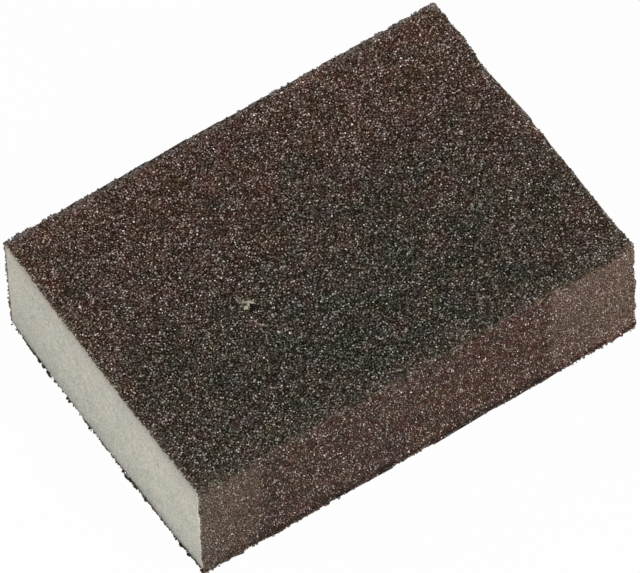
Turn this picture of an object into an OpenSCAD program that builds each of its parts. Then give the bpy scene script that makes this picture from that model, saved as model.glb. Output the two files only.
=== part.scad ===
// Sanding sponge: a block of open-cell foam with abrasive grit bonded round its four long faces.
// Both short ends are knife-cut and bare, so the foam and the thin edge of the coat show there.
// Millimetres. Origin: middle of the face it rests on. +X along the length, +Y across, +Z up.

/* [Block] */
// Length between the two bare ends
block_l = 100; // [80:1:130]
// Width over the coated long sides
block_w = 70; // [50:1:100]
// Height over the coated top and bottom
block_h = 29; // [20:1:45]

/* [Coat] */
// Thickness of the resin and grit together
coat_t = 0.8; // [0.4:0.1:1]
// Radius of the four long edges, over the grit
edge_r = 1; // [0.8:0.1:4]

/* [Hidden] */

// The coat is sprayed straight on the foam, so the foam takes up all the room inside it.
foam_w = block_w - 2 * coat_t;
foam_h = block_h - 2 * coat_t;
foam_r = max(edge_r - coat_t, 0.1);
$fn = 64;

// Rectangle w wide and h high with corners of radius r, centred on the origin.
module rounded_rect(w, h, r) {
    square([w - 2 * r, h], center = true);
    square([w, h - 2 * r], center = true);
    for (side = [-1, 1], level = [-1, 1])
        translate([side * (w / 2 - r), level * (h / 2 - r)]) circle(r = r);
}

// Runs a section, drawn as seen from +X, along the whole length at the block's middle height.
module along_block() {
    translate([-block_l / 2, 0, block_h / 2])
        rotate([90, 0, 90]) linear_extrude(height = block_l) children();
}

// The foam, cut through at both ends together with its coat.
module foam_block() {
    color("#b6b2a6") along_block() rounded_rect(foam_w, foam_h, foam_r);
}

// Grit in resin: one unbroken sleeve over the top, the bottom and both long sides.
module abrasive_coat() {
    color("#54463e") along_block() difference() {
        rounded_rect(block_w, block_h, edge_r);
        rounded_rect(foam_w, foam_h, foam_r);
    }
}

foam_block();
abrasive_coat();
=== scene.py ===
import math

import bpy
import numpy as np
from mathutils import Matrix, Vector


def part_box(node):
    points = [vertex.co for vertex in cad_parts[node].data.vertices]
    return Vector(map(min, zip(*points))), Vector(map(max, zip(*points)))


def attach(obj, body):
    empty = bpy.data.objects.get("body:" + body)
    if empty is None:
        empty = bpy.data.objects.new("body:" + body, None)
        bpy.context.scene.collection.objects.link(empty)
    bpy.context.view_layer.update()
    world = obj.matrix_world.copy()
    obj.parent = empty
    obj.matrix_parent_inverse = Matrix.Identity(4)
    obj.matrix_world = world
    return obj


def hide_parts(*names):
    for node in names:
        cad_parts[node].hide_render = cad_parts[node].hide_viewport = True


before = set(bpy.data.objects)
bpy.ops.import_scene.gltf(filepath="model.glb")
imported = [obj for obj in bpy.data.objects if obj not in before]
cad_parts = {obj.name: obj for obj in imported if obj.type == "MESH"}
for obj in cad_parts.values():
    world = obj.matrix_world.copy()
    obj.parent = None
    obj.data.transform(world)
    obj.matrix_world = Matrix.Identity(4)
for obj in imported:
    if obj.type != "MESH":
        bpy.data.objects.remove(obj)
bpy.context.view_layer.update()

MM = 0.001
coat_low, coat_high = (np.array(corner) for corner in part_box("abrasive_coat"))
coat_middle = (coat_low + coat_high) / 2
half_l, half_w, half_h = (coat_high - coat_low) / 2


# ---------------------------------------------------------------------------------------------------------
# Foam block
# The core of the sponge: fine-celled polyurethane foam, pale warm grey. Long planks of it are coated first
# and then chopped to length, so both short ends are bare knife cuts, nearly flat, with open cells.
# ---------------------------------------------------------------------------------------------------------

FOAM_CORNER = 0.3 * MM
FOAM_STEP = 0.26 * MM
FOAM_RISE = 0.60 * MM
FOAM_SLEEVE_STATIONS = (0.012, 0.25, 0.5, 0.75, 0.988)
NEAR_BOW = 0.34 * MM
FAR_SHORT = 0.10 * MM
FAR_DIP = 0.50 * MM
FAR_DIP_AT = 16 * MM
FAR_DIP_WIDE = 8 * MM
CUT_WAVES = ((0.10 * MM, 11 * MM), (0.035 * MM, 3 * MM))
CELL_RELIEF = 0.03 * MM
PORES_PER_END = 130
PORE_RADII = (0.16 * MM, 0.42 * MM)
PORE_DEPTH = 0.7
PORE_SHADE = 1.6
FOAM_UV_MARGIN = 0.02
FAR_CUT_UV = 0.35
FOAM_SLEEVE_UV = (0.75, 0.2)
FOAM_PALE = (0.550, 0.512, 0.436, 1)
FOAM_DULL = (0.465, 0.463, 0.398, 1)
# Dark colour for painted shade in the pores and the fleck's hollow, and for grit streaks, dust and soil.
FOAM_SOIL_AND_SHADE = (0.200, 0.195, 0.165, 1)
FOAM_CELL_SIZE = 0.34 * MM
FOAM_WALLS = (0.4, 0.1 * MM)
FOAM_CLOUD_SIZE = 0.5 * MM
FOAM_CLOUD_NOISE = (0.25, 0.75)
FOAM_CLOUDS = (0.70, 1.30)
FOAM_BLOTCH_SIZE = 3.5 * MM
FOAM_BLOTCH_NOISE = (0.3, 0.7)
FOAM_ROUGH = 0.95
FOAM_SHINE = 0.2
# Tint by height up the cut faces: painted shade that greys and darkens the foam towards the floor, and the
# resin's brown stain along the upper rim.
FOAM_SHADE_AND_STAIN = (
    (0.0, (0.530, 0.545, 0.565)),
    (0.05, (0.620, 0.640, 0.660)),
    (0.09, (0.800, 0.820, 0.858)),
    (0.20, (0.877, 0.888, 0.897)),
    (0.36, (0.935, 0.940, 0.948)),
    (0.60, (0.985, 0.986, 0.995)),
    (0.975, (0.985, 0.980, 0.995)),
    (0.984, (0.82, 0.74, 0.69)),
    (0.994, (0.74, 0.66, 0.61)),
    (1.0, (0.56, 0.48, 0.435)),
)
LOWER_SMUDGE = (0.2, 1.5)
SMUDGE_REACH = 1.2 * MM
SMUDGE_DASH = (0.40 * MM, 1.1 * MM)
UPPER_SMUDGE = 0.36
UPPER_SLANT = 0.35
UPPER_REACH = 3.2 * MM


def smooth_noise(across, along, cell, rng):
    """Random values on a square lattice of the given cell, blended between its corners by 3t^2 - 2t^3."""
    a = (across - across.min()) / cell
    b = (along - along.min()) / cell
    lattice = rng.uniform(-1, 1, (int(a.max()) + 3, int(b.max()) + 3))
    ia, ib = a.astype(int), b.astype(int)
    ta, tb = a - ia, b - ib
    ta, tb = ta * ta * (3 - 2 * ta), tb * tb * (3 - 2 * tb)
    low = lattice[ia, ib] * (1 - tb) + lattice[ia, ib + 1] * tb
    high = lattice[ia + 1, ib] * (1 - tb) + lattice[ia + 1, ib + 1] * tb
    return low * (1 - ta) + high * ta


def round_corners(y, z, half_w, half_h, radius):
    """Bends each corner square of the grid onto a quarter disc: (a, b) goes to
    (a sqrt(1 - b^2 / 2), b sqrt(1 - a^2 / 2)), and the rest of the grid stays where it is."""
    a = np.clip((np.abs(y) - (half_w - radius)) / radius, 0, 1)
    b = np.clip((np.abs(z) - (half_h - radius)) / radius, 0, 1)
    bent_y = np.sign(y) * (half_w - radius + radius * a * np.sqrt(1 - b * b / 2))
    bent_z = np.sign(z) * (half_h - radius + radius * b * np.sqrt(1 - a * a / 2))
    return np.where(a * b > 0, bent_y, y), np.where(a * b > 0, bent_z, z)


def cut_bow(y, way):
    """How far the blade strayed along the length, outwards from each end's plane: 1 - (y / w)^2 at the -X
    end, which bows out, and a soft bell-shaped dip on one side of the +X end, which is cut a little short."""
    bow = NEAR_BOW * (1 - (y / half_w) ** 2)
    dip = -FAR_SHORT - FAR_DIP * np.exp(-(((y - FAR_DIP_AT) / FAR_DIP_WIDE) ** 2))
    return np.where(way < 0, bow, dip)


def knife_cut(y, z, rng):
    """How far the cut face stands out of its plane: slow waves of the blade, fine cell relief, and round
    open pores, each a dent of depth k r (1 - (d / r)^2) inside its radius r. Also how dark it is there:
    painted shade in its pores, streaks of grit that the blade dragged in at the lower rim, and a soft shade
    of grit dust below the upper one, denser on the -Y side."""
    out = np.zeros_like(y)
    for height, cell in CUT_WAVES:
        out += height * smooth_noise(y, z, cell, rng)
    out += CELL_RELIEF * rng.uniform(-1, 1, y.shape)
    dashes = LOWER_SMUDGE[0] + LOWER_SMUDGE[1] * smooth_noise(y / SMUDGE_DASH[0], z / SMUDGE_DASH[1], 1, rng)
    dark = np.clip(dashes, 0, 1) * np.exp(-(((z - z.min()) / SMUDGE_REACH) ** 2))
    dark += UPPER_SMUDGE * (1 - UPPER_SLANT * y / y.max()) * np.exp((z - z.max()) / UPPER_REACH)
    for _ in range(PORES_PER_END):
        radius = PORE_RADII[0] + (PORE_RADII[1] - PORE_RADII[0]) * rng.uniform() ** 3
        pore_y = rng.uniform(y.min() + radius, y.max() - radius)
        pore_z = rng.uniform(z.min() + radius, z.max() - radius)
        gone = 1 - ((y - pore_y) ** 2 + (z - pore_z) ** 2) / radius**2
        out -= PORE_DEPTH * radius * np.clip(gone, 0, 1)
        # Each pore is also darkened: painted shade inside it.
        dark = np.maximum(dark, np.clip(PORE_SHADE * gone, 0, 1))
    return out, dark


def mesh_piece(name, points, faces, uvs):
    """A new object from whole arrays: points (n, 3), faces (m, 3 or 4) of point numbers, and uvs with one
    texture place for each corner of each face."""
    mesh = bpy.data.meshes.new(name)
    mesh.vertices.add(len(points))
    mesh.vertices.foreach_set("co", np.asarray(points, np.float32).ravel())
    mesh.loops.add(faces.size)
    mesh.loops.foreach_set("vertex_index", np.asarray(faces, np.int32).ravel())
    mesh.polygons.add(len(faces))
    mesh.polygons.foreach_set("loop_start", np.arange(0, faces.size, faces.shape[1], dtype=np.int32))
    mesh.uv_layers.new(name="OFBake").data.foreach_set("uv", np.asarray(uvs, np.float32).ravel())
    mesh.update(calc_edges=True)
    piece = bpy.data.objects.new(name, mesh)
    bpy.context.scene.collection.objects.link(piece)
    return piece


def set_field(piece, key, values):
    """Gives every point of a piece its value of a named attribute, for its material to read."""
    layer = piece.data.attributes.new(key, "FLOAT", "POINT")
    layer.data.foreach_set("value", values.astype(np.float32))


def foam_mesh():
    """Two cut faces on fine grids, joined round their rims by rings carried along the length. A cut face is
    a function of y and z, and a ring is its rim's points with x going evenly from one end to the other. Both
    cuts stand a little higher than the rings, so the coat looks thinner at the top of a cut than below."""
    low, high = (np.array(corner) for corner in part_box("foam_block"))
    _, half_y, half_z = (high - low) / 2
    middle = (low + high) / 2 + (0, 0, FOAM_RISE)
    across = np.linspace(-half_y, half_y, int(round(2 * half_y / FOAM_STEP)) + 1)
    up = np.linspace(-half_z, half_z, int(round(2 * half_z / FOAM_STEP)) + 1)
    y, z = np.meshgrid(across, up, indexing="ij")
    y, z = round_corners(y, z, half_y, half_z, FOAM_CORNER)
    index = np.arange(y.size).reshape(y.shape)
    rim = np.concatenate([index[:-1, 0], index[-1, :-1], index[:0:-1, -1], index[0, :0:-1]])
    rng = np.random.default_rng(11)
    cuts = [knife_cut(y, z, rng) for _ in range(2)]
    near, far = (
        np.stack([way * (half_l + out + cut_bow(y, way)), y, z], -1).reshape(-1, 3) + middle
        for way, (out, _) in zip((-1, 1), cuts)
    )
    share = np.array(FOAM_SLEEVE_STATIONS)[:, None, None]
    rings = near[rim] * (1 - share) + far[rim] * share - (0, 0, FOAM_RISE)
    points = np.concatenate([near, far, rings.reshape(-1, 3)])
    ring_ids = 2 * y.size + np.arange(share.size * len(rim)).reshape(share.size, -1)
    ring_ids = np.concatenate([rim[None], ring_ids, y.size + rim[None]])

    a, b, c, d = index[:-1, :-1], index[1:, :-1], index[1:, 1:], index[:-1, 1:]
    near_faces = np.stack([a, d, c, b], -1).reshape(-1, 4)
    far_faces = np.stack([a, b, c, d], -1).reshape(-1, 4) + y.size
    p, q = ring_ids[:-1], ring_ids[1:]
    side_faces = np.stack([p, np.roll(p, -1, 1), np.roll(q, -1, 1), q], -1).reshape(-1, 4)
    faces = np.concatenate([near_faces, far_faces, side_faces])

    # The two cuts lie one above the other in the texture, and the sleeve has a narrow band over them.
    spot = (points[faces] - low) / (high - low).max()
    spot = FOAM_UV_MARGIN + (1 - 2 * FOAM_UV_MARGIN) * spot
    sleeve_from = 2 * len(near_faces)
    uvs = spot[..., 1:].copy()
    uvs[len(near_faces) : sleeve_from, :, 1] += FAR_CUT_UV
    uvs[sleeve_from:, :, 0] = spot[sleeve_from:, :, 0]
    uvs[sleeve_from:, :, 1] = FOAM_SLEEVE_UV[0] + FOAM_SLEEVE_UV[1] * spot[sleeve_from:, :, 1]
    piece = mesh_piece("foam_core", points, faces, uvs)
    dark = np.concatenate([*(shade.ravel() for _, shade in cuts), np.zeros(rings.shape[0] * rings.shape[1])])
    set_field(piece, "soil_and_hollow_shade", dark)
    return piece


def add_node(material, kind, inputs, **settings):
    """A new shader node with its settings. Each input takes another node's output, or else a constant."""
    node = material.node_tree.nodes.new("ShaderNode" + kind)
    for key, setting in settings.items():
        setattr(node, key, setting)
    for key, source in inputs.items():
        if isinstance(source, bpy.types.NodeSocket):
            material.node_tree.links.new(source, node.inputs[key])
        else:
            node.inputs[key].default_value = source
    return node


def compute(material, kind, operation, *terms):
    """What a Math or VectorMath node makes of its terms."""
    return add_node(material, kind, dict(enumerate(terms)), operation=operation).outputs[0]


def remap(material, value, from_range=(0, 1), to_range=(0, 1), **settings):
    """Takes a value in a straight line from one range to another."""
    inputs = {"Value": value, "From Min": from_range[0], "From Max": from_range[1]}
    inputs |= {"To Min": to_range[0], "To Max": to_range[1]}
    return add_node(material, "MapRange", inputs, **settings).outputs["Result"]


def mix(material, factor, first, second, **settings):
    """The first value at a factor of 0, the second at 1, and their blend between."""
    inputs = {"Factor": factor, "A": first, "B": second}
    return add_node(material, "Mix", inputs, **settings).outputs["Result"]


def noise(material, place, size, detail):
    """A soft random value round a half, in patches of the given size."""
    inputs = {"Vector": place, "Scale": 1 / size, "Detail": detail}
    return add_node(material, "TexNoise", inputs).outputs["Fac"]


def ramp(material, value, stops):
    """A colour that runs through the given stops, each a place from 0 to 1 and its (r, g, b)."""
    node = add_node(material, "ValToRGB", {"Fac": value})
    elements = node.color_ramp.elements
    elements[0].color = (*stops[0][1], 1)
    elements[1].color = (*stops[-1][1], 1)
    for position, tone in stops[1:-1]:
        elements.new(position).color = (*tone, 1)
    return node.outputs["Color"]


def attribute(material, key):
    """The value that each point of the piece has under this name."""
    return add_node(material, "Attribute", {}, attribute_name=key).outputs["Fac"]


def foam_material():
    """Matte pale foam: two close tones in soft blotches with finer clouds over them, greyer and darker
    towards the bottom as painted shade near the floor, stained by the resin along its upper rim, darker
    with painted shade in its open pores, and with cell walls as bump."""
    material = bpy.data.materials.new("cut foam")
    material.use_nodes = True
    links = material.node_tree.links
    shader = material.node_tree.nodes["Principled BSDF"]
    shader.inputs["Roughness"].default_value = FOAM_ROUGH
    shader.inputs["Specular IOR Level"].default_value = FOAM_SHINE
    place = add_node(material, "TexCoord", {}).outputs["Object"]

    blotches = remap(material, noise(material, place, FOAM_BLOTCH_SIZE, 3), FOAM_BLOTCH_NOISE)
    tones = mix(material, blotches, FOAM_PALE, FOAM_DULL, data_type="RGBA")
    shade = remap(material, noise(material, place, FOAM_CLOUD_SIZE, 2), FOAM_CLOUD_NOISE, FOAM_CLOUDS)
    clouded = add_node(material, "VectorMath", {0: tones, "Scale": shade}, operation="SCALE")
    height = add_node(material, "SeparateXYZ", {"Vector": place}).outputs["Z"]
    # Painted shade by height, darker and greyer towards the floor, and the resin stain at the top.
    shade_and_stain = ramp(material, remap(material, height, (0, 2 * half_h)), FOAM_SHADE_AND_STAIN)
    tinted = compute(material, "VectorMath", "MULTIPLY", clouded.outputs["Vector"], shade_and_stain)
    # Painted shade in pores and hollows, and grit streaks, dust and soil, darken the colour by the piece's
    # attribute.
    holed = mix(material, attribute(material, "soil_and_hollow_shade"), tinted, FOAM_SOIL_AND_SHADE, data_type="RGBA")
    links.new(holed, shader.inputs["Base Color"])

    cells = add_node(material, "TexVoronoi", {"Vector": place, "Scale": 1 / FOAM_CELL_SIZE})
    walls = {"Strength": FOAM_WALLS[0], "Distance": FOAM_WALLS[1], "Height": cells.outputs["Distance"]}
    links.new(add_node(material, "Bump", walls).outputs["Normal"], shader.inputs["Normal"])
    return material


foam = foam_mesh()
foam.data.materials.append(foam_material())
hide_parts("foam_block")
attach(foam, "root")


# ---------------------------------------------------------------------------------------------------------
# Abrasive coat
# Coarse fused brown alumina grains, set in resin straight on the foam as one unbroken sleeve over the top,
# the bottom and both long sides. Each grain stands up as a small faceted crystal with resin low between.
# ---------------------------------------------------------------------------------------------------------

COAT_EDGE = 1.0 * MM
COAT_THICK = 0.8 * MM
DEEPEST = 0.25 * MM
EDGE_SWELL = (-0.03 * MM, 0.05 * MM)
CORNER_SWELL = (0.40 * MM, 3.5 * MM)
EDGE_LUMP = 0.8 * MM
EDGE_LUMP_HEIGHT = 0.40 * MM
EDGE_HOLLOW = 0.45
GRID_STATIONS = 372
GRID_WIDE = 256
GRID_TALL = 100
GRAIN_JITTER = 0.27
TIP_DEPTH = (-0.14 * MM, 0.06 * MM)
FLANK_DEPTH = (0.12 * MM, 0.36 * MM)
RIM_ROWS = 3
HUB_INSET = 1.5 * MM
RIM_JITTER = 0.12 * MM
RIM_SETBACK = 0.12 * MM
# How bright each cut rim's rows show; the bottom rim's low values paint it dark, for its dark resin and
# painted shade where it faces down.
RIM_RELIEF = {"top": (0.6, 1.2), "back": (0.4, 1.0), "bottom": (-0.6, 0.3), "front": (0.6, 1.1)}
RIM_RAGGED = (0.20 * MM, 0.18 * MM, 0.15 * MM)
RIM_REACH = 1.0 * MM
RIM_SHORT = (0.18 * MM, 0.10 * MM)
RIM_BY_END = (0.8, 1.9)
RIM_UPRIGHT = 0.55
RIM_HAZE = {"top": 0.9, "back": 0.9, "bottom": 0.1, "front": 0.8}
RIM_HAZE_SPREAD = (-0.7, 1.1)
RIM_SCALLOP = (10, 5, 1.6)
RIM_FADE = (0.9, 0.6 * MM)
END_FADE = (0.25, 6 * MM)
END_BANDS = (14 * MM, 20 * MM)
BAND_WANDER = (1.2 * MM, 3 * MM)
BAND_BORDER = 1.5 * MM
BAND_LEVELS = (1.4, 1.56)
BAND_UPWARDS = 0.40
BAND_TO_END = (0.9, 0.45)
SIDE_ONSET = 8
EDGE_WEAR = 1.2
EDGE_FADE = 0.95
EDGE_REACH = 2.5 * MM
# Painted shade low on the long sides, where the grit turns towards the floor: its share in relief, wear and
# warmth.
LOWER_SHADE = (0.13, 3.2, 0.10)
LOWER_SHADE_AT = 1.65 * MM
LOWER_REACH = 0.80 * MM
LOWER_PALE = (0.5, 0.8 * MM)
LOWER_FAINT = 0.3
LOWER_FULL_FROM = 60 * MM
LOWER_SPOTS = (1.5, 1.2 * MM)
LOWER_STRETCHES = (0.5, 6 * MM)
FLAT_WARMTH = (0.35, 0.37, 0.21)
FLAT_ENDS = (0.15, 0.28)
FLAT_ENDS_ACROSS = (0.75, 0.5)
UNDER_RIM_REACH = 2 * MM
SIDE_WARMTH = 0.66
SIDE_WARMTH_UP = 0.05
SIDE_WARMTH_ALONG = (0.12, 0.22)
WARMTH_DRIFT = (0.08, 14 * MM)
BAND_FILL = 0.15
# Painted shade deepening the gaps on the long sides.
SIDE_GAP_SHADE = 0.11
# Colour of the gaps between grains: their dark resin and painted shade.
GAP_TONE = 0.002
# Grain tones from dark to near white; the brightest stops are partly painted glints.
GRIT_TONES_AND_GLINTS = ((0.0, 0.007), (0.35, 0.035), (0.64, 0.10), (0.82, 0.28), (0.92, 0.68), (1.0, 0.98))
GRIT_OLIVE = (0.000, 0, -0.031)
GRIT_RED = (0.092, 0, -0.038)
TINT_POWER = 1.75
TONE_BY_WARMTH = (0.82, 1.24)
FACET_SIZE = 0.265 * MM
SIDE_STRETCH = 1.8
FACET_LEAN = 1.5
HUE_PATCH = 5 * MM
HUE_SWING = 1.25
BLUE_PATCH = 4 * MM
BLUE_SWING = 0.042
PINK_SHARE = 0.028
GAP_FROM = 0.2
GAP_TO = 1.1
GRIT_IOR = 1.5
GRIT_SHINE = 0.2
GLOSS_MIN = 0.15
GLOSS_MAX = 0.85
DUST = (0.086, 0.057, 0.035, 1)
DUST_COVER = 0.22
BAND_LIFT = 0.10
BAND_EVEN = 0.20
# Painted sheen along the +Y long edges, in the same pale tone as the pale resin on the cut rims.
PALE_SHEEN_AND_RESIN = (0.225, 0.206, 0.197, 1)
HAZE_COVER = 0.85
SHEEN_REACH = 0.92 * MM
SHEEN_WANDER = (0.45, 2.5 * MM)
SHEEN_LUMPS = (0.9, 0.5, 0.7 * MM)
BOW_FADE = 8
STRIP_UV_MARGIN = 0.01
STRIP_UV_TALL = 0.93
HIDDEN_UV = (0.96, 0.015)
FLECK_AT = (-18.61 * MM, -3.24 * MM)
FLECK_DENT_AT = (-18.61 * MM, -4.84 * MM)
FLECK_DENT = (0.24 * MM, 0.7 * MM, 0.9)


def edge_to_edge(share, half_flat, reach, radius):
    """One long face of the sleeve in section, from the middle of one rounded edge to the middle of the next:
    an eighth of a circle, a straight stretch and another eighth. share runs from 0 to 1 along its length.
    Gives (along, out) and the outward normal, with the face's own middle at along = 0."""
    arc = math.pi / 4 * radius
    s = share * (2 * half_flat + 2 * arc)
    lead = np.clip(s / radius, 0, math.pi / 4)
    tail = np.clip((s - arc - 2 * half_flat) / radius, 0, math.pi / 4)
    turn = 3 * math.pi / 4 - lead - tail
    centre = np.clip(s - arc - half_flat, -half_flat, half_flat)
    normal = np.stack([np.cos(turn), np.sin(turn)], -1)
    place = np.stack([centre, np.full_like(s, reach - radius)], -1) + radius * normal
    return place, normal


def grain_tips(rng, stations, columns):
    """Which points of the close-packed grid are the tips of grains: every point gets a random rank, one that
    outranks its six neighbours becomes a tip and rules them out, until each point is one or the other."""
    odd = (np.arange(columns) % 2 == 1)[None, :]

    def highest_near(field):
        pad = np.pad(field, ((1, 1), (0, 0)), constant_values=-1)
        after, here, before = pad[2:], pad[1:-1], pad[:-2]
        best = np.maximum(after, before)
        for way in (-1, 1):
            slant = np.where(odd, np.roll(after, way, axis=1), np.roll(before, way, axis=1))
            best = np.maximum(best, np.maximum(np.roll(here, way, axis=1), slant))
        return best

    rank = rng.uniform(0.01, 1, (stations, columns))
    tips = np.zeros_like(rank, bool)
    while rank.max() > 0:
        winners = (rank > 0) & (rank > highest_near(rank))
        tips |= winners
        rank[winners | (highest_near(winners.astype(float)) > 0)] = 0
    return tips


# The sleeve's section: the four faces in order round it, clockwise as seen from +X, each with its number of
# grid steps, its half size, its distance from the middle, and its directions along and outwards in (y, z).
SLEEVE_FACES = {
    "top": (GRID_WIDE, half_w, half_h, (1, 0), (0, 1)),
    "back": (GRID_TALL, half_h, half_w, (0, -1), (1, 0)),
    "bottom": (GRID_WIDE, half_w, half_h, (-1, 0), (0, -1)),
    "front": (GRID_TALL, half_h, half_w, (0, 1), (-1, 0)),
}
grit_rng = np.random.default_rng(7)


def sleeve_section():
    """Place and outward normal in (y, z) of every grid column round the section, each column's step to the
    next, and which columns are the middle of a rounded edge."""
    places, normals, steps, seams = [], [], [], []
    for count, half, reach, along, outwards in SLEEVE_FACES.values():
        basis = np.array([along, outwards], float)
        place, normal = edge_to_edge(np.arange(count) / count, half - COAT_EDGE, reach, COAT_EDGE)
        places.append(place @ basis)
        normals.append(normal @ basis)
        steps.append(np.full(count, (2 * (half - COAT_EDGE) + math.pi / 2 * COAT_EDGE) / count))
        seams.append(np.arange(count) == 0)
    return np.concatenate(places), np.concatenate(normals), np.concatenate(steps), np.concatenate(seams)


def warmth(points, normal):
    """How red the grit is, from 0 olive to 1 red. On the top and bottom it falls from the far side to the
    near one and rises towards the two ends, except at the bottom's cut rims. On the long sides it is high
    all over, most of all at the +X end. A slow random drift moves it up and down."""
    across = points[..., 1] / half_w
    endways = points[..., 0] / half_l
    flat = np.maximum(FLAT_WARMTH[0] + FLAT_WARMTH[1] * across, FLAT_WARMTH[2])
    ends = np.where(endways < 0, *FLAT_ENDS) * np.abs(endways) ** 3
    flat = flat + ends * np.clip(FLAT_ENDS_ACROSS[0] - FLAT_ENDS_ACROSS[1] * across, 0, 1)
    flat = flat * (1 - (normal[:, 1] < -0.5) * np.exp((np.abs(points[..., 0]) - half_l) / UNDER_RIM_REACH))
    share = np.abs(normal[:, 0]) ** 2
    drift = smooth_noise(points[..., 0], points[..., 1] + points[..., 2], WARMTH_DRIFT[1], grit_rng)
    upright = SIDE_WARMTH + SIDE_WARMTH_UP * points[..., 2] / half_h + SIDE_WARMTH_ALONG[0] * endways
    upright = upright + SIDE_WARMTH_ALONG[1] * np.clip(endways, 0, 1) ** 3
    return flat * (1 - share) + upright * share + WARMTH_DRIFT[0] * drift


def worn(points, normal):
    """How far dust and resin fill the grit: from 0.6 to 2.4 on the end bands of the long sides, most of all
    near the top and the cut, behind a ragged border that wanders by about a millimetre. On the other faces it
    is high along the long edges and the two cut rims, and falls off from them."""
    wander = BAND_WANDER[0] * smooth_noise(points[..., 2], points[..., 1], BAND_WANDER[1], grit_rng)
    band = np.where(points[..., 0] < 0, *END_BANDS)
    from_end = half_l - np.abs(points[..., 0])
    inside = (band + wander - from_end) / BAND_BORDER + 0.5
    full = np.where(points[..., 0] < 0, *BAND_LEVELS) + BAND_UPWARDS * points[..., 2] / half_h
    full += BAND_TO_END[0] * (np.clip(1 - from_end / band, 0, 1) - BAND_TO_END[1])
    off_edge = half_w - np.abs(points[..., 1]) + half_h - np.abs(points[..., 2])
    edge = EDGE_WEAR * (2 * np.abs(normal[:, 0] * normal[:, 1])) + EDGE_FADE * np.exp(-off_edge / EDGE_REACH)
    for level, reach in (RIM_FADE, END_FADE):
        edge = edge + level * np.exp(-from_end / reach)
    on_side = np.clip(1 - SIDE_ONSET * (1 - np.abs(normal[:, 0])), 0, 1)
    return np.maximum(full * np.clip(inside, 0, 1) * on_side, edge * (1 - on_side))


def haze(points):
    """How far a painted sheen lies on the grit, the pale reflection of the white surroundings at grazing
    view:
    exp(-(d / r)^2) at the distance d from the nearer of the two +Y long edges, where the reach r wanders
    along the block, and thinner in places."""
    off_edge = half_w - points[..., 1] + half_h - np.abs(points[..., 2])
    wander = smooth_noise(points[..., 0], points[..., 1], SHEEN_WANDER[1], grit_rng)
    reach = SHEEN_REACH * (1 + SHEEN_WANDER[0] * wander)
    lumps = smooth_noise(points[..., 0], points[..., 1] + points[..., 2], SHEEN_LUMPS[2], grit_rng)
    return np.exp(-((off_edge / reach) ** 2)) * np.clip(SHEEN_LUMPS[0] + SHEEN_LUMPS[1] * lumps, 0, 1)


def low_painted_shade(x, above_base, normal):
    """How far the painted shade low on the long sides goes, where they turn towards the floor: a bell across
    the height, less a narrower one at the very edge, broken up by spots and longer stretches, and fainter
    towards the -X end."""
    band = np.exp(-(((above_base - LOWER_SHADE_AT) / LOWER_REACH) ** 2))
    band -= LOWER_PALE[0] * np.exp(-((above_base / LOWER_PALE[1]) ** 2))
    patchy = 1 + LOWER_SPOTS[0] * smooth_noise(x, above_base + 0 * x, LOWER_SPOTS[1], grit_rng)
    stretches = smooth_noise(x, above_base + 0 * x, LOWER_STRETCHES[1], np.random.default_rng(31))
    patchy += LOWER_STRETCHES[0] * stretches
    fading = LOWER_FAINT + (1 - LOWER_FAINT) * np.clip((x + half_l) / LOWER_FULL_FROM, 0, 1)
    return band * np.abs(normal[:, 0]) * np.clip(patchy, 0, 2) * fading


def rim_shift(x, height, normal, columns):
    """How far the ragged cut rim moves each point along x: noise of three sizes round the section, dying off
    with the distance from the end, and a set-back of the whole rim at the -X end. The +X rim is the more
    ragged one, most of all on the top face."""
    by_face = np.where(normal[:, 1] > 0, 1 - (1 - RIM_UPRIGHT) * np.abs(normal[:, 0]), RIM_UPRIGHT)
    fringe = np.where(x < 0, -RIM_BY_END[0], RIM_BY_END[1] * by_face)
    fringe = fringe * np.exp(-(half_l - np.abs(x)) / RIM_REACH)
    shift = -fringe * (x < 0) * np.where(height > 0, *RIM_SHORT)
    for reach, cell in zip(RIM_RAGGED, RIM_SCALLOP):
        shift += reach * fringe * smooth_noise(columns + 0 * x, cell * np.sign(x), cell, grit_rng)
    return shift


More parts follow.
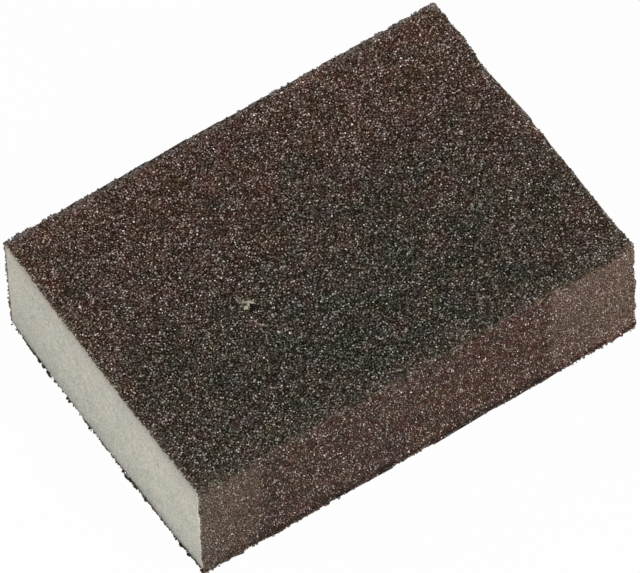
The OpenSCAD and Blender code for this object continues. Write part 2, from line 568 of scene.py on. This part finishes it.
def sleeve_grid():
    """The coat's whole outer surface: stations along x by columns round the section, odd columns half a step
    on. Tips lie near the coat's face and their flanks deeper, the rounded edges swell in lumps, and every
    point is moved a little sideways. No point lies lower than the floor."""
    place, normal, step, seam = sleeve_section()
    columns = np.arange(len(place))
    pitch = 2 * half_l / (GRID_STATIONS - 0.5)
    x = -half_l + pitch * (np.arange(GRID_STATIONS)[:, None] + 0.5 * (columns % 2))
    tips = grain_tips(grit_rng, *x.shape)
    depth = np.where(tips, grit_rng.uniform(*TIP_DEPTH, x.shape), grit_rng.uniform(*FLANK_DEPTH, x.shape))
    # relief sets how dark a point shows: low in the gaps, for their dark resin and painted shade, and lowered
    # further by painted shade on the long sides, in the low band and in the fleck's dent.
    relief = 1 - depth / FLANK_DEPTH[1] - SIDE_GAP_SHADE * np.abs(normal[:, 0])
    low_shade = low_painted_shade(x, place[:, 1] + half_h, normal)
    relief -= LOWER_SHADE[0] * low_shade
    flat_points = np.stack(np.broadcast_arrays(x, place[:, 0], place[:, 1]), -1)
    depth *= 1 - BAND_FILL * worn(flat_points, normal)
    lumps = smooth_noise(x, (np.cumsum(step) - step)[None] + 0 * x, EDGE_LUMP, grit_rng)
    swell = np.where(place[:, 1] > 0, *EDGE_SWELL) + EDGE_LUMP_HEIGHT * np.clip(lumps, -EDGE_HOLLOW, 1)
    at_corner = (place[:, 0] > 0) & (place[:, 1] > 0)
    swell = swell + CORNER_SWELL[0] * at_corner * np.exp((x - half_l) / CORNER_SWELL[1])
    depth -= swell * np.sqrt(2 * np.abs(normal[:, 0] * normal[:, 1]))
    off = (x - FLECK_DENT_AT[0]) ** 2 + (place[:, 0] - FLECK_DENT_AT[1]) ** 2
    dent = np.exp(-off / FLECK_DENT[1] ** 2) * (normal[:, 1] > 0.9)
    depth += FLECK_DENT[0] * dent
    # The dent round the fleck is painted dark too: painted shade in it.
    relief -= FLECK_DENT[2] * dent

    x += pitch * GRAIN_JITTER * grit_rng.uniform(-1, 1, x.shape)
    x = np.clip(x, -half_l, half_l)
    x += rim_shift(x, place[:, 1], normal, columns)
    x += np.sign(x) * cut_bow(place[:, 0], np.sign(x)) * (x / half_l) ** BOW_FADE
    slide = step * ~seam * GRAIN_JITTER * grit_rng.uniform(-1, 1, x.shape)
    along = np.stack([normal[:, 1], -normal[:, 0]], -1)
    section = place + slide[..., None] * along - depth[..., None] * normal
    section[..., 1] = np.maximum(section[..., 1], -half_h - DEEPEST)
    points = np.concatenate([x[..., None], section], -1)
    inner = place - COAT_THICK * normal + coat_middle[1:]
    fields = {"relief": relief, "haze": haze(points)}
    # The low painted shade also takes away wear and redness there.
    fields["worn"] = worn(points, normal) - LOWER_SHADE[1] * low_shade
    fields["warmth"] = warmth(points, normal) - LOWER_SHADE[2] * low_shade
    return points + coat_middle, inner, fields


sleeve_points, sleeve_inner, sleeve_fields = sleeve_grid()


def stitch(chain, hubs, owner):
    """Triangles between a long chain of points and a few hub points: each step of the chain goes to the hub
    that owns it, and one more triangle closes the gap wherever the owner changes."""
    steps = np.stack([chain[:-1], chain[1:], hubs[owner[:-1]]], -1)
    turns = np.flatnonzero(owner[1:] != owner[:-1])
    gaps = np.stack([chain[turns + 1], hubs[owner[turns + 1]], hubs[owner[turns]]], -1)
    return np.concatenate([steps, gaps])


def grit_strip(side, first, count):
    """One face of the sleeve as a closed shell: its columns of the outer grid, a ragged rim of a few rows
    going in to the foam at each end, and a plain inner skin whose few points the rims and edges stitch to."""
    columns = (first + np.arange(count + 1)) % sleeve_points.shape[1]
    outer = sleeve_points[:, columns]
    rims, reliefs = [], []
    for way, row in ((-1, 0), (1, -1)):
        start = outer[row]
        foam_edge = sleeve_inner[columns] + (0, FOAM_RISE)
        goal = np.concatenate([start[:, :1] - way * RIM_SETBACK, foam_edge], -1)
        share = (np.arange(1, RIM_ROWS + 1) / RIM_ROWS)[:, None, None]
        rows = start * (1 - share) + goal * share
        rows[..., 0] += way * RIM_JITTER * grit_rng.uniform(-1, 1, rows.shape[:2])
        rims.append(rows)
        reliefs.append(grit_rng.uniform(*RIM_RELIEF[side], rows.shape[:2]))
    # The skin is flat but for its rounded edges, so it needs points only there.
    keys = np.array([0, 2, 4, count - 4, count - 2, count])
    hubs = np.empty((2, len(keys), 3))
    hubs[..., 0] = coat_middle[0] + (half_l - HUB_INSET) * np.array([-1, 1])[:, None]
    hubs[..., 1:] = sleeve_inner[columns[keys]]

    grid = np.concatenate([rims[0][::-1], outer, rims[1]])
    points = np.concatenate([grid.reshape(-1, 3), hubs.reshape(-1, 3)])
    index = np.arange(grid.shape[0] * grid.shape[1]).reshape(grid.shape[:2])
    hub = index.size + np.arange(2 * len(keys)).reshape(2, -1)

    # Each cell is two triangles, and its diagonal follows the slant between its columns.
    odd = (columns[:-1] % 2 == 1)[None, :, None] & np.ones((len(grid) - 1, 1, 1), bool)
    a, b, c, d = index[:-1, :-1], index[:-1, 1:], index[1:, 1:], index[1:, :-1]
    lower = np.where(odd, np.stack([a, c, b], -1), np.stack([a, d, b], -1))
    upper = np.where(odd, np.stack([a, d, c], -1), np.stack([d, c, b], -1))
    shown = np.concatenate([lower.reshape(-1, 3), upper.reshape(-1, 3)])

    nearest = np.abs(np.arange(count + 1)[:, None] - keys).argmin(1)
    half_way = (np.arange(len(grid)) >= len(grid) // 2).astype(int)
    hidden = [
        stitch(index[0], hub[0], nearest),
        stitch(index[-1][::-1], hub[1], nearest[::-1]),
        stitch(index[::-1, 0], hub[:, 0], half_way[::-1]),
        stitch(index[:, -1], hub[:, -1], half_way),
    ]
    p, q, r, s = hub[0, :-1], hub[0, 1:], hub[1, 1:], hub[1, :-1]
    hidden += [np.stack([p, r, s], -1), np.stack([p, q, r], -1)]
    hidden = np.concatenate(hidden)
    faces = np.concatenate([shown, hidden])

    # Texture: the shown grid fills the map by station and column, and what is hidden has a band at its top.
    station, column = np.divmod(shown, grid.shape[1])
    wide = STRIP_UV_MARGIN + (1 - 2 * STRIP_UV_MARGIN) * station / (len(grid) - 1)
    shown_uv = np.stack([wide, STRIP_UV_MARGIN + STRIP_UV_TALL * column / count], -1)
    spot = (points[hidden] - coat_low) / (coat_high - coat_low)
    wide = STRIP_UV_MARGIN + (1 - 2 * STRIP_UV_MARGIN) * spot[..., 0]
    hidden_uv = np.stack([wide, HIDDEN_UV[0] + HIDDEN_UV[1] * (spot[..., 1] + spot[..., 2])], -1)
    piece = mesh_piece("grit_" + side, points, faces, np.concatenate([shown_uv, hidden_uv]))

    for key, field in sleeve_fields.items():
        field = np.pad(field[:, columns], ((RIM_ROWS, RIM_ROWS), (0, 0)), mode="edge")
        if key == "relief":
            field[:RIM_ROWS] = reliefs[0][::-1]
            field[-RIM_ROWS:] = reliefs[1]
        # The cut rims add pale resin to the same field as the painted sheen.
        if key == "haze":
            dusted = grit_rng.uniform(*RIM_HAZE_SPREAD, (2, RIM_ROWS, count + 1))
            dusted = RIM_HAZE[side] * np.clip(dusted, 0, 1)
            field[:RIM_ROWS] = np.maximum(field[:RIM_ROWS], dusted[0])
            field[-RIM_ROWS:] = np.maximum(field[-RIM_ROWS:], dusted[1])
        set_field(piece, key, np.concatenate([field.ravel(), np.zeros(hub.size)]))
    return piece


def grit_material():
    """Fused alumina in resin. Each grain draws its own tone and gloss from its number, the brightest of them
    partly painted glints, and the gaps are dark: their dark resin with painted shade over it.
    Where the grit is worn, the tones are paler and more even, with dust over them. The tint is added on a
    bent scale, colour = (tone^(1 / p) + tint)^p, so that dark grains are strongly coloured and bright ones
    nearly clear. It leans to red or to olive in slow patches, and to pink or blue in others."""
    material = bpy.data.materials.new("resin-bonded grit")
    material.use_nodes = True
    links = material.node_tree.links
    shader = material.node_tree.nodes["Principled BSDF"]
    shader.inputs["IOR"].default_value = GRIT_IOR
    shader.inputs["Specular IOR Level"].default_value = GRIT_SHINE
    place = add_node(material, "TexCoord", {}).outputs["Object"]
    relief, wear_and_low_shade, sheen_and_rim_resin = (attribute(material, key) for key in ("relief", "worn", "haze"))

    squeezed = compute(material, "VectorMath", "MULTIPLY", place, (1, 1, 1 / SIDE_STRETCH))
    cells = add_node(material, "TexVoronoi", {"Vector": squeezed, "Scale": 1 / FACET_SIZE}).outputs["Color"]
    lots = add_node(material, "SeparateColor", {"Color": cells})

    # How red: the piece's own warmth and a slow noise round its middle value of a half.
    patches = noise(material, place, HUE_PATCH, 3)
    sway = remap(material, patches, to_range=(-HUE_SWING / 2, HUE_SWING / 2), clamp=False)
    redness = compute(material, "Math", "ADD", sway, attribute(material, "warmth"))

    # How bright: the grain's own tone, its brightest partly painted glints, evened and lifted where it is
    # worn, lowered by painted shade low on the long sides, and next to none in the gaps, dark resin with
    # painted shade.
    tone = ramp(material, lots.outputs["Red"], [(share, (grey,) * 3) for share, grey in GRIT_TONES_AND_GLINTS])
    fired = remap(material, redness, to_range=TONE_BY_WARMTH, clamp=False)
    lifted = compute(material, "Math", "MULTIPLY_ADD", wear_and_low_shade, BAND_LIFT, fired)
    evenness = compute(material, "Math", "MULTIPLY_ADD", wear_and_low_shade, -BAND_EVEN, 1)
    evened = compute(material, "Math", "POWER", tone, evenness)
    toned = compute(material, "Math", "MULTIPLY", evened, lifted)
    # Gaps: dark resin and painted shade between the grains.
    gaps = remap(material, relief, (GAP_FROM, GAP_TO), interpolation_type="SMOOTHSTEP")
    level = mix(material, gaps, GAP_TONE, toned)

    tint = mix(material, redness, GRIT_OLIVE, GRIT_RED, data_type="VECTOR", clamp_factor=False)
    bluer = remap(material, noise(material, place, BLUE_PATCH, 4), to_range=(-BLUE_SWING, BLUE_SWING))
    pinker = compute(material, "Math", "MULTIPLY_ADD", sway, PINK_SHARE, bluer)
    blue_only = add_node(material, "CombineXYZ", {"Z": pinker}).outputs["Vector"]
    tinting = compute(material, "VectorMath", "ADD", tint, blue_only)
    seen = compute(material, "Math", "POWER", level, 1 / TINT_POWER)
    tinted = compute(material, "VectorMath", "ADD", tinting, seen)
    positive = compute(material, "VectorMath", "MAXIMUM", tinted)
    grain = add_node(material, "Gamma", {"Color": positive, "Gamma": TINT_POWER}).outputs["Color"]

    cover = compute(material, "Math", "MULTIPLY", wear_and_low_shade, DUST_COVER)
    dusty = mix(material, cover, grain, DUST, data_type="RGBA")
    # Painted sheen on the +Y long edges, and pale resin on the cut rims.
    veil = compute(material, "Math", "MULTIPLY", sheen_and_rim_resin, HAZE_COVER)
    links.new(mix(material, veil, dusty, PALE_SHEEN_AND_RESIN, data_type="RGBA"), shader.inputs["Base Color"])
    gloss = remap(material, lots.outputs["Green"], to_range=(GLOSS_MIN, GLOSS_MAX))
    links.new(gloss, shader.inputs["Roughness"])

    # Each facet leans its own way, by its number from a half down to a half up along each axis.
    lean = compute(material, "VectorMath", "SUBTRACT", cells, (0.5, 0.5, 0.5))
    normal = add_node(material, "NewGeometry", {}).outputs["Normal"]
    leaning = compute(material, "VectorMath", "MULTIPLY_ADD", lean, (FACET_LEAN,) * 3, normal)
    links.new(compute(material, "VectorMath", "NORMALIZE", leaning), shader.inputs["Normal"])
    return material


grit = grit_material()
first_column = 0
for side, (count, *_) in SLEEVE_FACES.items():
    strip = grit_strip(side, first_column, count)
    strip.data.materials.append(grit)
    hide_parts("abrasive_coat")
    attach(strip, "root")
    first_column += count


# ---------------------------------------------------------------------------------------------------------
# Proud crystals
# The largest grains stand clear of the coat: some on every face, many along the four long edges and the cut
# rims, and clumps of them on the edges and below the cuts, one of them larger than the rest. They are the
# same alumina, held by the same resin.
# ---------------------------------------------------------------------------------------------------------

PROUD_ON_FACES = 4200
PROUD_ON_EDGES = 600
PROUD_ON_RIMS = 520
FACE_SUNK = 0.35
EDGE_SPREAD = 0.5 * MM
RIM_OUT = (-0.30 * MM, -0.04 * MM)
RIM_SUNK = (-0.02 * MM, 0.26 * MM)
RIM_CLUMPS = 40
RIM_CLUMP_OUT = -0.04 * MM
RIM_CLUMP_SUNK = 0.14 * MM
EDGE_CLUMPS = 200
EDGE_CLUMP_SHARES = (0.25, 0.38, 0.22, 0.15)
CLUMP_GRAINS = 5
LARGE_CLUMP_AT = -7.8 * MM
LARGE_CLUMP_GRAINS = 16
LARGE_CLUMP_OUT = 0.12 * MM
LARGE_CLUMP_SPREAD = 0.42 * MM
CLUMP_SPREAD = 0.30 * MM
FACE_CRYSTAL = (0.13 * MM, 0.24 * MM)
EDGE_CRYSTAL = (0.16 * MM, 0.34 * MM)
EDGE_SUNK = (-0.20 * MM, 0.22 * MM)
RIM_CRYSTAL = (0.10 * MM, 0.22 * MM)
CLUMP_CRYSTAL = (0.16 * MM, 0.32 * MM)
CLUMP_SUNK = (-0.15 * MM, 0.20 * MM)
CRYSTAL_RELIEF = (0.45, 1.0)
CLUMP_RELIEF = (-0.2, 0.6)
CRYSTAL_STRETCH = (0.65, 1.35)
CORNER_JITTER = (0.8, 1.2)
TILE_SHARE = 0.3


def turned(count, rng):
    """Random rotation matrices (count, 3, 3), each from a unit quaternion (w, x, y, z) picked evenly."""
    q = rng.normal(size=(count, 4))
    w, x, y, z = (q / np.linalg.norm(q, axis=1, keepdims=True)).T
    rows = [
        (1 - 2 * (y * y + z * z), 2 * (x * y - w * z), 2 * (x * z + w * y)),
        (2 * (x * y + w * z), 1 - 2 * (x * x + z * z), 2 * (y * z - w * x)),
        (2 * (x * z - w * y), 2 * (y * z + w * x), 1 - 2 * (x * x + y * y)),
    ]
    return np.stack([np.stack(row, -1) for row in rows], 1)


def icosahedron():
    """The 12 corners (0, +-1, +-g) in its three turns, scaled to a radius of 1, and the 20 triangles whose
    corners all lie an edge apart, each wound to face outwards."""
    golden = (1 + math.sqrt(5)) / 2
    corners = np.array([(0, a, b * golden) for a in (-1, 1) for b in (-1, 1)], float)
    corners = np.concatenate([np.roll(corners, turn, axis=1) for turn in range(3)])
    corners /= np.linalg.norm(corners[0])
    edge = 2 / math.sqrt(1 + golden**2)
    apart = np.linalg.norm(corners[:, None] - corners[None], axis=-1)
    near = np.abs(apart - edge) < 1e-6
    faces = np.argwhere(near[:, :, None] & near[None] & near[:, None])
    faces = faces[(faces[:, 0] > faces[:, 1]) & (faces[:, 1] > faces[:, 2])]
    p, q, r = (corners[faces[:, k]] for k in range(3))
    inward = (np.cross(q - p, r - p) * p).sum(1) < 0
    faces[inward] = faces[inward][:, ::-1]
    return corners, faces


def crystal_piece(name, centres, normals, radii, relief_range, rng):
    """Sharp grains as one piece: an icosahedron for each centre, stretched by its own three factors, its
    corners moved in or out by up to a fifth, and turned at random."""
    corners, triangles = icosahedron()
    count = len(centres)
    stretch = rng.uniform(*CRYSTAL_STRETCH, (count, 1, 3))
    shape = corners * rng.uniform(*CORNER_JITTER, (count, len(corners), 1)) * stretch
    shape = np.einsum("nij,nkj->nki", turned(count, rng), shape)
    points = centres[:, None] + radii[:, None, None] * shape + coat_middle
    points[..., 2] = np.maximum(points[..., 2], coat_low[2] - DEEPEST)
    faces = (len(corners) * np.arange(count)[:, None, None] + triangles).reshape(-1, 3)
    tiles = math.ceil(math.sqrt(count))
    tile = np.stack(np.divmod(np.arange(count), tiles), -1)[:, None]
    flat = (tile + 0.5 + TILE_SHARE * shape[..., :2]) / tiles
    piece = mesh_piece(name, points.reshape(-1, 3), faces, flat.reshape(-1, 2)[faces])
    fields = {"relief": rng.uniform(*relief_range, count), "warmth": warmth(centres, normals)}
    fields["worn"] = worn(centres, normals)
    fields["haze"] = haze(centres)
    for key, field in fields.items():
        set_field(piece, key, np.repeat(field, len(corners)))
    return piece


def around_sleeve(turns):
    """Place and outward normal in (y, z) at fractions of a turn round the sleeve, read off its columns."""
    place, normal, step, _ = sleeve_section()
    column = (np.concatenate([[0], np.cumsum(step)[:-1]]).searchsorted(turns * step.sum()) - 1) % len(place)
    return place[column], normal[column]


def proud_on_sleeve(x, turns, depth):
    """Crystal centres at x along the block and a fraction of a turn round the sleeve, sunk by depth below its
    plain surface, and following the knife's cut near the ends. Gives centres and normals in (y, z)."""
    place, normal = around_sleeve(turns)
    section = place - depth[:, None] * normal
    x = x + np.sign(x) * cut_bow(section[:, 0], x) * (x / half_l) ** BOW_FADE
    return np.concatenate([x[:, None], section], -1), normal


proud_rng = np.random.default_rng(23)
sleeve_round = sleeve_section()[2].sum()
top_round = 2 * (half_w - COAT_EDGE) + math.pi / 2 * COAT_EDGE
side_round = 2 * (half_h - COAT_EDGE) + math.pi / 2 * COAT_EDGE
long_edges = np.array([0, top_round, top_round + side_round, 2 * top_round + side_round]) / sleeve_round

face_radii = proud_rng.uniform(*FACE_CRYSTAL, PROUD_ON_FACES)
face_x = proud_rng.uniform(-1, 1, PROUD_ON_FACES) * half_l
face_turns = proud_rng.uniform(0, 1, PROUD_ON_FACES)

edge_radii = proud_rng.uniform(*EDGE_CRYSTAL, PROUD_ON_EDGES)
edge_x = proud_rng.uniform(-1, 1, PROUD_ON_EDGES) * half_l
edge_turns = proud_rng.choice(long_edges, PROUD_ON_EDGES)
edge_turns = (edge_turns + proud_rng.normal(0, EDGE_SPREAD / sleeve_round, PROUD_ON_EDGES)) % 1
edge_depths = proud_rng.uniform(*EDGE_SUNK, PROUD_ON_EDGES)

rim_radii = proud_rng.uniform(*RIM_CRYSTAL, PROUD_ON_RIMS)
rim_ends = proud_rng.choice((-1, 1), PROUD_ON_RIMS)
rim_x = rim_ends * (half_l + proud_rng.uniform(*RIM_OUT, PROUD_ON_RIMS))
rim_turns = proud_rng.uniform(0, 1, PROUD_ON_RIMS)
rim_depths = proud_rng.uniform(*RIM_SUNK, PROUD_ON_RIMS)

clump_x = np.concatenate([
    proud_rng.choice((-1, 1), RIM_CLUMPS) * (half_l + RIM_CLUMP_OUT),
    proud_rng.uniform(-1, 1, EDGE_CLUMPS) * half_l,
])
clump_turns = np.concatenate([
    proud_rng.uniform(long_edges[2], long_edges[3], RIM_CLUMPS),
    proud_rng.choice(long_edges, EDGE_CLUMPS, p=EDGE_CLUMP_SHARES),
])
large_turn = (top_round + side_round + half_w - LARGE_CLUMP_AT) / sleeve_round
clump_x = np.append(np.repeat(clump_x, CLUMP_GRAINS), np.full(LARGE_CLUMP_GRAINS, -half_l - LARGE_CLUMP_OUT))
clump_turns = np.append(np.repeat(clump_turns, CLUMP_GRAINS), np.full(LARGE_CLUMP_GRAINS, large_turn))
clump_x += proud_rng.normal(0, CLUMP_SPREAD, clump_x.size) * (np.abs(clump_x) < half_l - MM)
clump_spreads = np.where(np.abs(clump_x) < half_l, CLUMP_SPREAD, LARGE_CLUMP_SPREAD)
clump_turns = (clump_turns + proud_rng.normal(0, 1, clump_x.size) * clump_spreads / sleeve_round) % 1
clump_radii = proud_rng.uniform(*CLUMP_CRYSTAL, clump_x.size)
clump_depths = proud_rng.uniform(*CLUMP_SUNK, clump_x.size)
clump_depths += RIM_CLUMP_SUNK * (np.abs(clump_x) > half_l - MM)

for crystal_name, x, turns, depths, radii, relief_range in (
    (
        "grit_crystals",
        np.concatenate([face_x, edge_x, rim_x]),
        np.concatenate([face_turns, edge_turns, rim_turns]),
        np.concatenate([FACE_SUNK * face_radii, edge_depths, rim_depths]),
        np.concatenate([face_radii, edge_radii, rim_radii]),
        CRYSTAL_RELIEF,
    ),
    ("grit_clumps", clump_x, clump_turns, clump_depths, clump_radii, CLUMP_RELIEF),
):
    centres, normals = proud_on_sleeve(x, turns, depths)
    crystals = crystal_piece(crystal_name, centres, normals, radii, relief_range, proud_rng)
    crystals.data.materials.append(grit)
    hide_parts("abrasive_coat")
    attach(crystals, "root")


# ---------------------------------------------------------------------------------------------------------
# Bare fleck
# One small chip near the middle of the top face, where the grit came away and a torn tuft of foam shows: a
# long rounded bar, a short one across it and a lobe beside its end, round a hollow. It stands in the shallow
# dent that the grit left.
# ---------------------------------------------------------------------------------------------------------

FLECK_BARS = (
    ((-1.12 * MM, 0.74 * MM), (1.04 * MM, -0.68 * MM), 0.40 * MM),
    ((0.16 * MM, -0.32 * MM), (-0.22 * MM, -0.90 * MM), 0.36 * MM),
    ((-1.18 * MM, -0.98 * MM), (-0.68 * MM, -1.30 * MM), 0.46 * MM),
)
FLECK_TURNS = 48
FLECK_RINGS = 9
FLECK_REACH = 2.4 * MM
FLECK_STEPS = 300
FLECK_TOP = -0.02 * MM
FLECK_HEIGHT = 0.40 * MM
FLECK_ROOT = 0.1 * MM
FLECK_HOLE = ((-0.70 * MM, -0.12 * MM), 0.38 * MM, 0.8)
FLECK_SOIL = (0.38, 1.2, 0.34 * MM)
FLECK_LUMPS = 0.20 * MM
FLECK_UV_SIZE = 6 * MM
FLECK_BASE_UV = (0.02, 0.2)


def fleck_mesh():
    """The union of the three bars as a low closed mound: in each direction it reaches to the furthest point
    that is nearer to a bar's middle line than its half width, and it is 1 - s^4 high at the share s of that.
    Small lumps ride on it, and a bell-shaped hollow is taken out of it."""
    turn = 2 * math.pi * np.arange(FLECK_TURNS) / FLECK_TURNS
    ray = np.stack([np.cos(turn), np.sin(turn)], -1)
    steps = np.linspace(0, FLECK_REACH, FLECK_STEPS)
    spots = steps[:, None, None] * ray
    inside = np.zeros(spots.shape[:2], bool)
    for start, stop, half_width in FLECK_BARS:
        run = np.subtract(stop, start)
        share = np.clip(((spots - start) @ run) / (run @ run), 0, 1)
        inside |= np.linalg.norm(spots - start - share[..., None] * run, axis=-1) < half_width
    reach = (steps[:, None] * inside).max(0)

    rng = np.random.default_rng(5)
    share = np.linspace(0, 1, FLECK_RINGS + 1)[1:, None, None]
    rings = share * reach[:, None] * ray
    height = FLECK_HEIGHT * (1 - share[..., 0] ** 4) * np.ones(FLECK_TURNS)
    height += FLECK_LUMPS * smooth_noise(rings[..., 0], rings[..., 1], FLECK_SOIL[2], rng)
    (hole_x, hole_y), hole_radius, hole_share = FLECK_HOLE
    hole = np.exp(-((rings[..., 0] - hole_x) ** 2 + (rings[..., 1] - hole_y) ** 2) / hole_radius**2)
    height -= hole_share * FLECK_HEIGHT * hole
    top = np.concatenate([rings, height[..., None]], -1).reshape(-1, 3)
    points = np.concatenate([top, [[0, 0, height[0].mean()], [0, 0, -FLECK_ROOT]]])
    points += (*FLECK_AT, coat_high[2] + FLECK_TOP - FLECK_HEIGHT)

    index = np.arange(FLECK_RINGS * FLECK_TURNS).reshape(FLECK_RINGS, FLECK_TURNS)
    following = np.roll(index, -1, axis=1)
    middle, under = index.size, index.size + 1
    a, b, c, d = index[:-1], index[1:], following[1:], following[:-1]
    cap = np.stack([np.full(FLECK_TURNS, middle), index[0], following[0]], -1)
    base = np.stack([np.full(FLECK_TURNS, under), following[-1], index[-1]], -1)
    walls = np.concatenate([np.stack([a, b, c], -1).reshape(-1, 3), np.stack([a, c, d], -1).reshape(-1, 3)])
    faces = np.concatenate([cap, walls, base])
    flat = (points[:, :2] - FLECK_AT) / FLECK_UV_SIZE + 0.5
    uvs = flat[faces]
    uvs[-len(base) :, :, 0] = FLECK_BASE_UV[0] + FLECK_BASE_UV[1] * uvs[-len(base) :, :, 0]
    piece = mesh_piece("bare_fleck", points, faces, uvs)
    # Soil specks on the torn foam, and painted shade in its hollow.
    specks = smooth_noise(rings[..., 0], rings[..., 1], FLECK_SOIL[2], rng)
    soil = (FLECK_SOIL[0] + FLECK_SOIL[1] * specks + hole).ravel()
    set_field(piece, "soil_and_hollow_shade", np.clip(np.append(soil, [FLECK_SOIL[0], 1]), 0, 1))
    return piece


fleck = fleck_mesh()
fleck.data.materials.append(foam.data.materials[0])
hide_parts("foam_block")
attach(fleck, "root")


# ---------------------------------------------------------------------------------------------------------
# Table, light and camera
# A pale floor that fades to white, a large soft lamp over each shoulder of the camera, a weaker one behind
# the block, a low one along its long side, and an even sky. The camera stands far off with a long lens.
# ---------------------------------------------------------------------------------------------------------

FLOOR_SIZE = 12.0
FLOOR_TONE = 0.4
FLOOR_ROUGH = 0.9
FLOOR_GLOW = 0.98
CAMERA_TURN = math.radians(-30.48)
CAMERA_HEIGHT = math.radians(56.78)
CAMERA_ROLL = math.radians(-3.205)
CAMERA_DISTANCE = 2.115
CAMERA_SEES_TO = 20.0
CAMERA_SLIDE = (-0.12 * MM, -0.19 * MM)
LENS = 613.9
SENSOR = 36.0
LAMP_DISTANCE = 2.0
LAMP_SIZE = 0.6
LAMPS = {
    "key_lamp": ((-0.8, -0.7, 0.6), 40),
    "fill_lamp": ((0.3, -0.9, 0.9), 20),
    "back_lamp": ((0.3, 0.9, 0.9), 12),
    "side_lamp": ((0.2, -1.0, 0.25), 8),
}
SKY_LEVEL = 0.12


for lamp_name, (direction, power) in LAMPS.items():
    light = bpy.data.lights.new(lamp_name, "AREA")
    light.size = LAMP_SIZE
    light.energy = power
    body = bpy.data.objects.new(lamp_name, light)
    away = Vector(direction).normalized()
    body.location = Vector(coat_middle) + LAMP_DISTANCE * away
    body.rotation_euler = (-away).to_track_quat("-Z", "Y").to_euler()
    bpy.context.scene.collection.objects.link(body)

world = bpy.data.worlds.new("even sky")
bpy.context.scene.world = world
world.use_nodes = True
sky = world.node_tree.nodes["Background"]
sky.inputs["Color"].default_value = (1, 1, 1, 1)
sky.inputs["Strength"].default_value = SKY_LEVEL

floor_z = coat_low[2] - DEEPEST
points = np.array([(-1, -1, 0), (1, -1, 0), (1, 1, 0), (-1, 1, 0)]) * FLOOR_SIZE / 2 + (0, 0, floor_z)
floor = mesh_piece("floor", points, np.array([[0, 1, 2, 3]]), points[:, :2] / FLOOR_SIZE + 0.5)
floor_paint = bpy.data.materials.new("pale floor")
floor_paint.use_nodes = True
nodes, links = floor_paint.node_tree.nodes, floor_paint.node_tree.links
matte = nodes["Principled BSDF"]
matte.inputs["Base Color"].default_value = (FLOOR_TONE, FLOOR_TONE, FLOOR_TONE, 1)
matte.inputs["Roughness"].default_value = FLOOR_ROUGH
glow = add_node(floor_paint, "Emission", {"Strength": 1.0})
path = add_node(floor_paint, "LightPath", {}).outputs
mirrored = compute(floor_paint, "Math", "ADD", path["Is Glossy Ray"], path["Is Transmission Ray"])
either = add_node(floor_paint, "Math", {0: path["Is Camera Ray"], 1: mirrored}, use_clamp=True)
glowing = compute(floor_paint, "Math", "MULTIPLY", either.outputs["Value"], FLOOR_GLOW)
shaders = {"Fac": glowing, 1: matte.outputs["BSDF"], 2: glow.outputs["Emission"]}
blend = add_node(floor_paint, "MixShader", shaders)
links.new(blend.outputs["Shader"], nodes["Material Output"].inputs["Surface"])
floor.data.materials.append(floor_paint)

camera_data = bpy.data.cameras.new("camera")
camera_data.lens = LENS
camera_data.sensor_width = SENSOR
camera_data.clip_end = CAMERA_SEES_TO
camera = bpy.data.objects.new("camera", camera_data)
bpy.context.scene.collection.objects.link(camera)
away = Vector((
    math.sin(CAMERA_TURN) * math.cos(CAMERA_HEIGHT),
    -math.cos(CAMERA_TURN) * math.cos(CAMERA_HEIGHT),
    math.sin(CAMERA_HEIGHT),
))
aim = (-away).to_track_quat("-Z", "Y").to_matrix() @ Matrix.Rotation(CAMERA_ROLL, 3, "Z")
camera.location = Vector(coat_middle) + CAMERA_DISTANCE * away + aim @ Vector((*CAMERA_SLIDE, 0))
camera.rotation_euler = aim.to_euler()
bpy.context.scene.camera = camera
bpy.context.scene.view_settings.view_transform = "Standard"
